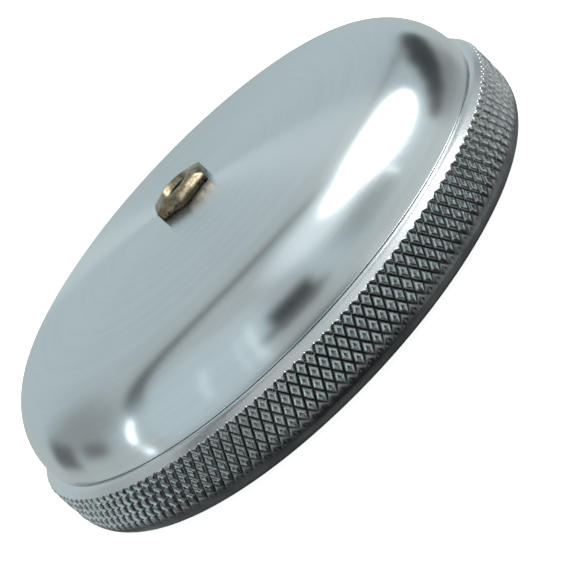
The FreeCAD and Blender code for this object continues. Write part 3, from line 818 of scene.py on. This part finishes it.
CARDS = [
    # azimuth, elevation, half width, half height, twist, softness, colour
    (300, 20, 19, 20, 0, 11, (0.29, 0.315, 0.32)),
    (60, -2, 20, 14, 0, 9, (0.27, 0.29, 0.295)),
    (228, 46, 22, 12, 0, 9, (0.52, 0.58, 0.6)),
    (37, 32, 3.5, 24, 8, 3, (0.3, 0.33, 0.34)),
    (132, 22, 16, 15, 0, 10, (0.27, 0.3, 0.31)),
    (148, 50, 12, 12, 0, 9, (0.6, 0.68, 0.7)),
    (109, -44, 37, 19, 0, 9, (0.62, 0.64, 0.65)),
    (228, 14, 31, 34, 0, 2.5, (0.5, 0.59, 0.62)),
    (203, 12, 2.2, 26, 0, 1.5, (0.74, 0.84, 0.87)),
    (210, 12, 1.2, 24, 0, 1.2, (0.64, 0.74, 0.77)),
    (229, 14, 2.0, 18, 0, 1.8, (0.68, 0.78, 0.81)),
    (267.9, -5, 1.6, 14, 0, 1.0, (0.75, 0.84, 0.88)),
    (268.8, 12, 1.5, 11, 0, 0.9, (2.6, 2.8, 2.9)),
    (267.9, -16, 1.8, 3, 0, 1.0, (2.0, 2.2, 2.3)),
    (115, 17, 0.9, 7, 0, 0.8, (1.4, 1.5, 1.5)),
    (182, 14, 11, 16, 0, 3.0, (0.0, 0.0, 0.0)),
    (183, 6, 17, 5, 0, 4, (0.1, 0.105, 0.105)),
    (312, 1, 8, 9, 0, 4, (0.11, 0.115, 0.115)),
    (290, 6, 7, 6, 0, 4, (0.13, 0.135, 0.135)),
]
DARK = (0.03, 0.033, 0.034)
GLOW = (0.8, 0.88, 0.9)
# round patches: azimuth, elevation, radius, softness, colour
SHADES = [(0, -37, 15, 5, (0.01, 0.01, 0.01)), (182, -56, 30, 12, (0.03, 0.032, 0.032))]
CRESCENT = [(36, 11, 7), (46, 13, 9.5), (57, 10, 9), (68, 6, 7.5), (79, 2, 5.5)]
LAMPS = [
    (132, 62, 17, 12, GLOW),
    (92, 46, 24, 8, GLOW),
    (108, 56, 11, 4, (2.6, 2.7, 2.7)),
    (87, 42, 20.5, 4, (3.6, 3.7, 3.7)),
]


def add_discs(nodes, look, room, discs):
    for azimuth, elevation, radius, soft, colour in discs:
        room = nodes.mix(disc_mask(nodes, look, azimuth, elevation, radius, soft), room, colour)
    return room


def add_cards(nodes, look, room):
    for azimuth, elevation, width, tall, twist, soft, colour in CARDS:
        mask = card_mask(nodes, look, azimuth, elevation, width, tall, twist, soft)
        room = nodes.mix(mask, room, colour)
    return room


def room_colour(nodes, look):
    """The room in every direction: grey-blue walls, darker below, with its stands, window and lamps."""
    height = nodes.add("ShaderNodeSeparateXYZ", {0: look}).outputs[2]
    room = nodes.mix(nodes.step(height, 0.2, 0.95), (0.45, 0.53, 0.55), (0.43, 0.47, 0.48))
    room = nodes.mix(nodes.step(height, -0.12, 0.12, 1.0, 0.0), room, (0.46, 0.5, 0.5))
    room = nodes.mix(nodes.step(height, -0.6, -0.38, 1.0, 0.0), room, (0.22, 0.232, 0.235))
    room = add_discs(nodes, look, room, SHADES)
    room = add_cards(nodes, look, room)
    room = add_discs(nodes, look, room, [(*place, 3.5, DARK) for place in CRESCENT])
    boom = ring_mask(nodes, look, 185, 41.4, 65, 4.8, 2.5)
    boom = nodes.math("MULTIPLY", boom, disc_mask(nodes, look, 312, 60, 34, 14))
    room = nodes.mix(boom, room, (0.07, 0.075, 0.075))
    return add_discs(nodes, look, room, LAMPS)


def make_studio():
    """A grey-blue studio with a round softbox, a window and dark stands, seen only in the metal."""
    world = bpy.data.worlds.new("studio")
    bpy.context.scene.world = world
    world.use_nodes = True
    nodes = Nodes(world.node_tree)
    look = nodes.add("ShaderNodeTexCoord").outputs["Generated"]
    room = room_colour(nodes, look)
    seen = nodes.add("ShaderNodeLightPath").outputs["Is Camera Ray"]
    room = nodes.mix(seen, room, (1.0, 1.0, 1.0))
    background = nodes.add("ShaderNodeBackground", {"Color": room, "Strength": 1.0})
    out = nodes.add("ShaderNodeOutputWorld")
    nodes.put(out.inputs["Surface"], background.outputs[0])


def make_floor():
    """A wide white table. The metal doesn't mirror it, as if the cap stood well above it."""
    surface = Surface()
    rings = surface.outline(96, [(4000, -0.02), (900, -0.02), (200, -0.02), (1, -0.02)])
    surface.faces.append(tuple(rings[-1]))
    floor = surface.build("table")
    material, nodes, shader, place = new_material("white_table")
    mottle = nodes.noise(place, 25, 3.0, 0.5)
    nodes.put(shader.inputs["Base Color"], nodes.mix(mottle, (0.8, 0.8, 0.8), (0.84, 0.84, 0.84)))
    shader.inputs["Roughness"].default_value = 0.9
    shader.inputs["Specular IOR Level"].default_value = 0.1
    shader.inputs["Emission Color"].default_value = (1.0, 1.0, 1.0, 1.0)
    shader.inputs["Emission Strength"].default_value = 0.9
    paint([floor], material)
    floor.visible_glossy = False


def make_camera():
    """The camera looks down at the cap with a long lens, and is rolled well over to its left."""
    distance = 465.5
    elevation = math.radians(17.27)
    roll = math.radians(-46.9)
    aim_right, aim_up = -3.55, 3.57
    ahead = Vector((0, math.cos(elevation), -math.sin(elevation)))
    level_up = Vector((0, math.sin(elevation), math.cos(elevation)))
    right = Vector((1, 0, 0)) * math.cos(roll) + level_up * math.sin(roll)
    up = level_up * math.cos(roll) - Vector((1, 0, 0)) * math.sin(roll)
    camera = bpy.data.objects.new("camera", bpy.data.cameras.new("camera"))
    bpy.context.scene.collection.objects.link(camera)
    camera.data.sensor_fit = "HORIZONTAL"
    camera.data.sensor_width = 36
    camera.data.lens = 196.1
    camera.data.clip_start = 0.01
    camera.data.clip_end = 20
    turn = Matrix((right, up, -ahead)).transposed().to_4x4()
    place = (right * aim_right + up * aim_up - ahead * distance) * MM
    camera.matrix_world = Matrix.Translation(place) @ turn
    bpy.context.scene.camera = camera


def main():
    dome = make_dome()
    ring = make_grip_ring()
    neck = make_neck()
    vent = make_vent_fitting()
    coil = make_spring()
    foam = make_foam()
    paint_everything(dome, ring, neck, vent, coil, foam)
    make_studio()
    make_floor()
    make_camera()
    bpy.context.scene.view_settings.view_transform = "Standard"


main()
